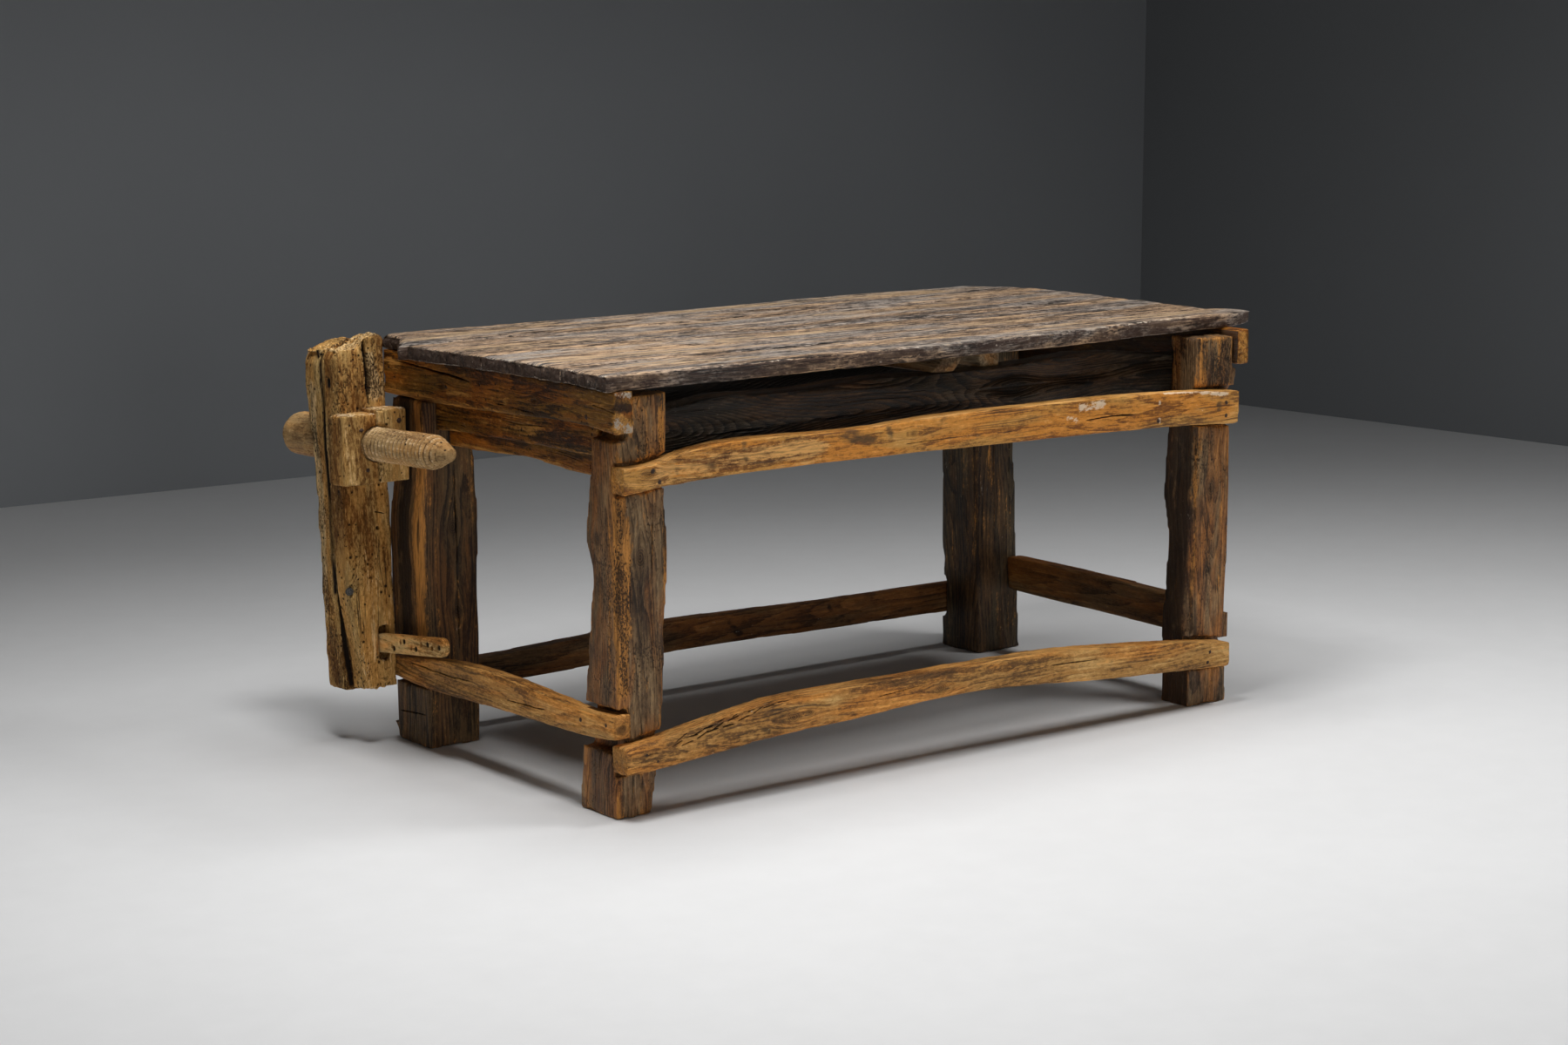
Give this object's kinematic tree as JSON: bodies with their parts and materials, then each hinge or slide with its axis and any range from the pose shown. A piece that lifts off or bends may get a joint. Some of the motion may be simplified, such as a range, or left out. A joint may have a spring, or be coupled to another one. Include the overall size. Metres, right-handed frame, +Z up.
{
  "type": "workbench",
  "caption": "Rustic plank-top workbench on hewn legs with lapped rails, and a wooden leg vise with a turned screw and a pegged guide.",
  "frame": {"origin": "on the floor, under the middle of the bounding box", "axes": "+X along the bench away from the vise, +Y from the front to the back, +Z up"},
  "size_m": [1.784, 1.0514, 0.8019],
  "materials": {
    "plank": "weathered, worn dark brown",
    "leg": "hewn, dark brown",
    "rail": "worn tan",
    "end_board": "old red brown",
    "dark_rail": "weathered, near black",
    "batten": "raw, dusty",
    "vise_beech": "worm-eaten, worn",
    "vise_screw": "worn, dusty",
    "nail": "hand-forged, rusted"
  },
  "bodies": {
    "bench": {"plank_front": "plank", "plank_second": "plank", "plank_third": "plank", "plank_back": "plank", "leg_front_left": "leg", "leg_front_right": "leg", "leg_back_left": "leg", "leg_back_right": "leg", "front_upper_rail": "rail", "front_lower_rail": "rail", "back_upper_rail": "dark_rail", "back_lower_rail": "dark_rail", "left_end_top_rail": "end_board", "left_end_inner_board": "end_board", "left_end_lower_board": "end_board", "left_lower_stretcher": "rail", "right_end_top_rail": "end_board", "right_lower_stretcher": "dark_rail", "leg_patch": "leg", "inner_beam": "dark_rail", "cross_batten": "batten", "short_batten": "batten", "vise_post": "vise_beech", "vise_nut_left": "vise_beech", "vise_nut_right": "vise_beech", "front_rail_nails": "nail", "left_end_nails": "nail", "vise_nut_nails": "nail"},
    "chop": {"vise_chop": "vise_beech", "vise_guide": "vise_beech"},
    "screw": {"vise_screw": "vise_screw"}
  },
  "joints": [
    {"name": "chop_slide", "type": "slide", "parent": "bench", "child": "chop", "axis": [0, 0.9989, -0.0462], "range_m": [0, 0.15]},
    {"name": "screw_turn", "type": "hinge", "parent": "chop", "child": "screw", "pos_m": [-0.817, 0.3832, 0.59254], "axis": [0, 0.9989, -0.0462], "range_deg": [0, 4005]}
  ],
  "couplings": [
    {"joint": "screw_turn", "follows": "chop_slide", "rad_per_m": 465.42}
  ]
}
